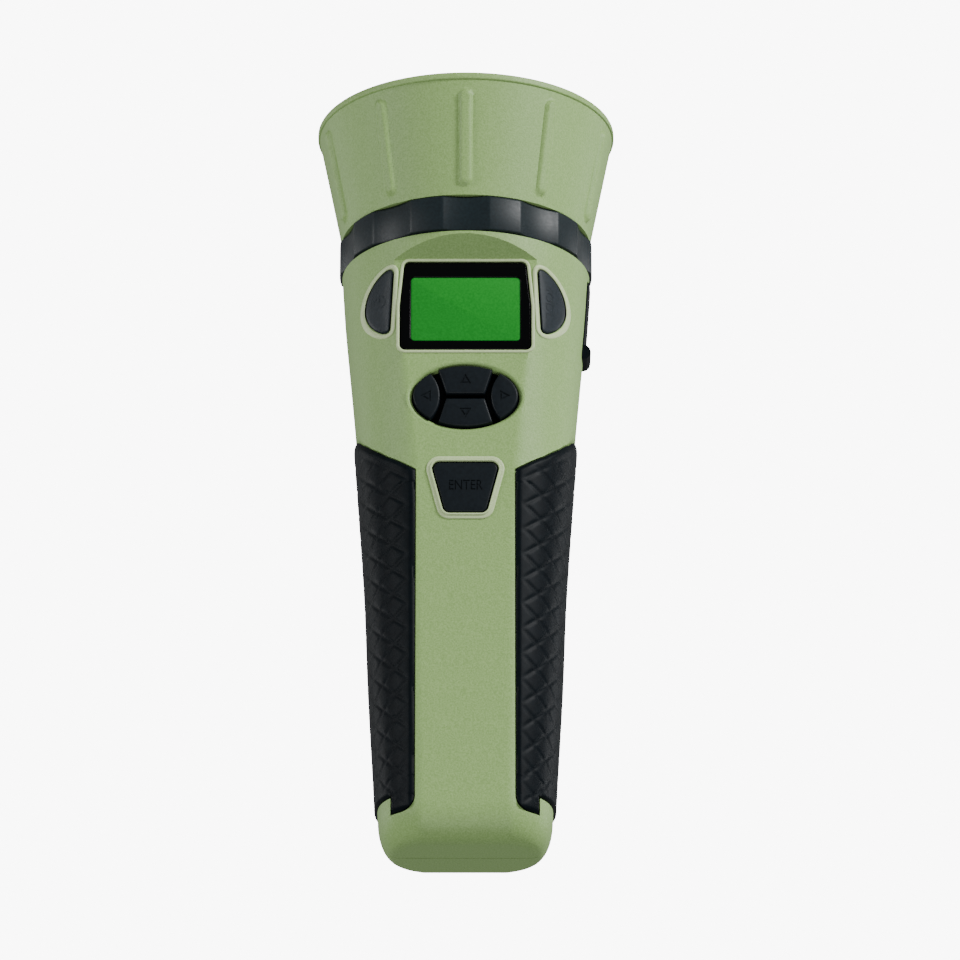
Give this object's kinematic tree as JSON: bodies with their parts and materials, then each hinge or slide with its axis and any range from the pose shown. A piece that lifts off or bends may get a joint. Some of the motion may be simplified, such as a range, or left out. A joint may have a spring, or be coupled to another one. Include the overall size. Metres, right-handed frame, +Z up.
{
  "type": "electronic game caller",
  "caption": "Handheld electronic game caller with a flared speaker horn, display, keypad, rubber side grips and a battery handle.",
  "frame": {"origin": "centre of the flat foot that the caller stands on", "axes": "+Z up the body towards the horn, -Y out of the display, +X to the side with the port cover"},
  "size_m": [0.0778, 0.0778, 0.2003],
  "materials": {
    "green_plastic": "fine leather-like mould grain",
    "grip_rubber": "matt soft-touch rubber with diamond grooves",
    "collar_plastic": "satin moulded plastic",
    "key_rubber": "satin silicone rubber",
    "black_gloss": "polished",
    "lcd_green": "smooth lit display",
    "board_green": "solder mask",
    "black_plastic": "fine moulded texture",
    "steel": "plated",
    "cell_wrap": "shrink sleeve",
    "paper_cone": "pressed paper",
    "lead_red": "insulated wire",
    "lead_black": "insulated wire"
  },
  "bodies": {
    "body": {"front_housing": "green_plastic", "rear_housing": "green_plastic", "horn": "green_plastic", "left_grip": "grip_rubber", "right_grip": "grip_rubber", "display_bezel": "black_gloss", "lcd_glass": "lcd_green", "lcd_backlight": "black_plastic", "keypad_mat": "key_rubber", "speaker_gasket": "key_rubber", "main_board": "board_green", "amp_board": "board_green", "speaker_grille": "black_plastic", "speaker_basket": "black_plastic", "speaker_cone": "paper_cone", "speaker_magnet": "steel", "lower_end_cap": "black_plastic", "upper_end_cap": "black_plastic", "lower_contact_plate": "steel", "upper_contact_plate": "steel", "audio_jack": "black_plastic", "power_port": "steel", "door_hinge_pin": "steel", "speaker_lead_red": "lead_red", "battery_lead_red": "lead_red", "speaker_lead_black": "lead_black", "battery_lead_black": "lead_black", "battery_cell_1": "cell_wrap", "battery_spring_1": "steel", "battery_cell_2": "cell_wrap", "battery_spring_2": "steel", "battery_cell_3": "cell_wrap", "battery_spring_3": "steel", "battery_cell_4": "cell_wrap", "battery_spring_4": "steel", "upper_left_screw": "steel", "upper_right_screw": "steel", "lower_left_screw": "steel", "lower_right_screw": "steel"},
    "collar_part": {"collar": "collar_plastic"},
    "battery_door_part": {"battery_door": "green_plastic"},
    "port_cover_part": {"port_cover": "grip_rubber"},
    "power_key_part": {"power_key": "key_rubber"},
    "mode_key_part": {"mode_key": "key_rubber"},
    "up_key_part": {"up_key": "key_rubber"},
    "down_key_part": {"down_key": "key_rubber"},
    "left_key_part": {"left_key": "key_rubber"},
    "right_key_part": {"right_key": "key_rubber"},
    "enter_key_part": {"enter_key": "key_rubber"}
  },
  "joints": [
    {"name": "power_key_press", "type": "slide", "parent": "body", "child": "power_key_part", "axis": [0, 0.9987, 0.0516], "range_m": [0, 0.0006], "stiffness_N_per_m": 800},
    {"name": "mode_key_press", "type": "slide", "parent": "body", "child": "mode_key_part", "axis": [0, 0.9987, 0.0516], "range_m": [0, 0.0006], "stiffness_N_per_m": 800},
    {"name": "up_key_press", "type": "slide", "parent": "body", "child": "up_key_part", "axis": [0, 0.9987, 0.0516], "range_m": [0, 0.0006], "stiffness_N_per_m": 800},
    {"name": "down_key_press", "type": "slide", "parent": "body", "child": "down_key_part", "axis": [0, 0.9987, 0.0516], "range_m": [0, 0.0006], "stiffness_N_per_m": 800},
    {"name": "left_key_press", "type": "slide", "parent": "body", "child": "left_key_part", "axis": [0, 0.9987, 0.0516], "range_m": [0, 0.0006], "stiffness_N_per_m": 800},
    {"name": "right_key_press", "type": "slide", "parent": "body", "child": "right_key_part", "axis": [0, 0.9987, 0.0516], "range_m": [0, 0.0006], "stiffness_N_per_m": 800},
    {"name": "enter_key_press", "type": "slide", "parent": "body", "child": "enter_key_part", "axis": [0, 0.9987, 0.0516], "range_m": [0, 0.0006], "stiffness_N_per_m": 800},
    {"name": "collar_turn", "type": "hinge", "parent": "body", "child": "collar_part", "pos_m": [0, 0, 0.163], "axis": [0, 0, 1], "range_deg": [0, 36]},
    {"name": "battery_door_swing", "type": "hinge", "parent": "body", "child": "battery_door_part", "pos_m": [0, 0.01789, 0.01325], "axis": [-1, 0, 0], "range_deg": [0, 90]},
    {"name": "port_cover_swing", "type": "hinge", "parent": "body", "child": "port_cover_part", "pos_m": [0.0323, 0, 0.1562], "axis": [0, -1, 0], "range_deg": [0, 100]}
  ]
}
